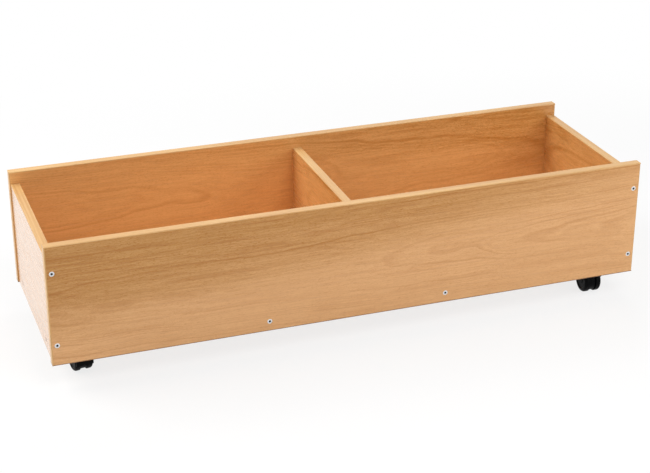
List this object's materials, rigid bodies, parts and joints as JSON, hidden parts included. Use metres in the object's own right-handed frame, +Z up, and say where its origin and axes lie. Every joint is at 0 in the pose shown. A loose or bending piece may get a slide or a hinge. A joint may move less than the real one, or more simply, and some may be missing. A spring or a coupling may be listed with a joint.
{
  "type": "toy storage box on castors",
  "caption": "Low open rectangular toy box of beech-faced board with a cross divider, screwed at the corners and rolling on swivelling twin-wheel castors.",
  "frame": {"origin": "on the floor under the middle of the box", "axes": "+X along the box to its right end, +Y from the front wall to the back wall, +Z up"},
  "size_m": [1.2, 0.39, 0.297],
  "materials": {
    "beech_board": "satin beech-effect face",
    "beech_edging": "satin pale beech edging",
    "dowel_beech": "plain turned beech",
    "zinc_screw": "bright zinc plate",
    "zinc_steel": "zinc plate",
    "black_nylon": "moulded black nylon",
    "white_nylon": "moulded natural nylon"
  },
  "bodies": {
    "box": {"front_panel": "beech_board", "back_panel": "beech_board", "left_end_panel": "beech_board", "right_end_panel": "beech_board", "base_panel": "beech_board", "divider_panel": "beech_board", "divider_top_edging": "beech_edging", "panel_screws": "zinc_screw", "divider_screws": "zinc_screw", "divider_dowels": "dowel_beech", "castor_screws": "zinc_screw", "front_top_edging": "beech_edging", "front_bottom_edging": "beech_edging", "front_left_edging": "beech_edging", "front_right_edging": "beech_edging", "back_top_edging": "beech_edging", "back_bottom_edging": "beech_edging", "back_left_edging": "beech_edging", "back_right_edging": "beech_edging", "left_end_top_edging": "beech_edging", "left_end_bottom_edging": "beech_edging", "right_end_top_edging": "beech_edging", "right_end_bottom_edging": "beech_edging", "front_left_castor_plate": "zinc_steel", "front_left_castor_kingpin": "zinc_steel", "front_left_castor_ring": "zinc_steel", "front_right_castor_plate": "zinc_steel", "front_right_castor_kingpin": "zinc_steel", "front_right_castor_ring": "zinc_steel", "back_left_castor_plate": "zinc_steel", "back_left_castor_kingpin": "zinc_steel", "back_left_castor_ring": "zinc_steel", "back_right_castor_plate": "zinc_steel", "back_right_castor_kingpin": "zinc_steel", "back_right_castor_ring": "zinc_steel"},
    "front_left_castor": {"front_left_castor_washer": "white_nylon", "front_left_castor_housing": "black_nylon", "front_left_castor_axle": "zinc_steel"},
    "front_right_castor": {"front_right_castor_washer": "white_nylon", "front_right_castor_housing": "black_nylon", "front_right_castor_axle": "zinc_steel"},
    "back_left_castor": {"back_left_castor_washer": "white_nylon", "back_left_castor_housing": "black_nylon", "back_left_castor_axle": "zinc_steel"},
    "back_right_castor": {"back_right_castor_washer": "white_nylon", "back_right_castor_housing": "black_nylon", "back_right_castor_axle": "zinc_steel"},
    "front_left_castor_left_wheel": {"front_left_castor_left_wheel": "black_nylon"},
    "front_left_castor_right_wheel": {"front_left_castor_right_wheel": "black_nylon"},
    "front_right_castor_left_wheel": {"front_right_castor_left_wheel": "black_nylon"},
    "front_right_castor_right_wheel": {"front_right_castor_right_wheel": "black_nylon"},
    "back_left_castor_left_wheel": {"back_left_castor_left_wheel": "black_nylon"},
    "back_left_castor_right_wheel": {"back_left_castor_right_wheel": "black_nylon"},
    "back_right_castor_left_wheel": {"back_right_castor_left_wheel": "black_nylon"},
    "back_right_castor_right_wheel": {"back_right_castor_right_wheel": "black_nylon"}
  },
  "joints": [
    {"name": "front_left_swivel", "type": "hinge", "parent": "box", "child": "front_left_castor", "pos_m": [-0.53318, -0.12718, 0.068], "axis": [0, 0, 1], "continuous": true},
    {"name": "front_left_left_wheel_spin", "type": "hinge", "parent": "front_left_castor", "child": "front_left_castor_left_wheel", "pos_m": [-0.54129, -0.1162, 0.025], "axis": [0.9903, 0.1392, 0], "continuous": true},
    {"name": "front_left_right_wheel_spin", "type": "hinge", "parent": "front_left_castor", "child": "front_left_castor_right_wheel", "pos_m": [-0.52841, -0.11439, 0.025], "axis": [0.9903, 0.1392, 0], "continuous": true},
    {"name": "front_right_swivel", "type": "hinge", "parent": "box", "child": "front_right_castor", "pos_m": [0.53318, -0.12718, 0.068], "axis": [0, 0, 1], "continuous": true},
    {"name": "front_right_left_wheel_spin", "type": "hinge", "parent": "front_right_castor", "child": "front_right_castor_left_wheel", "pos_m": [0.53926, -0.1394, 0.025], "axis": [-0.9994, 0.0349, 0], "continuous": true},
    {"name": "front_right_right_wheel_spin", "type": "hinge", "parent": "front_right_castor", "child": "front_right_castor_right_wheel", "pos_m": [0.52626, -0.13895, 0.025], "axis": [-0.9994, 0.0349, 0], "continuous": true},
    {"name": "back_left_swivel", "type": "hinge", "parent": "box", "child": "back_left_castor", "pos_m": [-0.53318, 0.12718, 0.068], "axis": [0, 0, 1], "continuous": true},
    {"name": "back_left_left_wheel_spin", "type": "hinge", "parent": "back_left_castor", "child": "back_left_castor_left_wheel", "pos_m": [-0.54455, 0.13472, 0.025], "axis": [0.8829, 0.4695, 0], "continuous": true},
    {"name": "back_left_right_wheel_spin", "type": "hinge", "parent": "back_left_castor", "child": "back_left_castor_right_wheel", "pos_m": [-0.53307, 0.14083, 0.025], "axis": [0.8829, 0.4695, 0], "continuous": true},
    {"name": "back_right_swivel", "type": "hinge", "parent": "box", "child": "back_right_castor", "pos_m": [0.53318, 0.12718, 0.068], "axis": [0, 0, 1], "continuous": true},
    {"name": "back_right_left_wheel_spin", "type": "hinge", "parent": "back_right_castor", "child": "back_right_castor_left_wheel", "pos_m": [0.53329, 0.11353, 0.025], "axis": [-0.8829, 0.4695, 0], "continuous": true},
    {"name": "back_right_right_wheel_spin", "type": "hinge", "parent": "back_right_castor", "child": "back_right_castor_right_wheel", "pos_m": [0.52181, 0.11964, 0.025], "axis": [-0.8829, 0.4695, 0], "continuous": true}
  ]
}
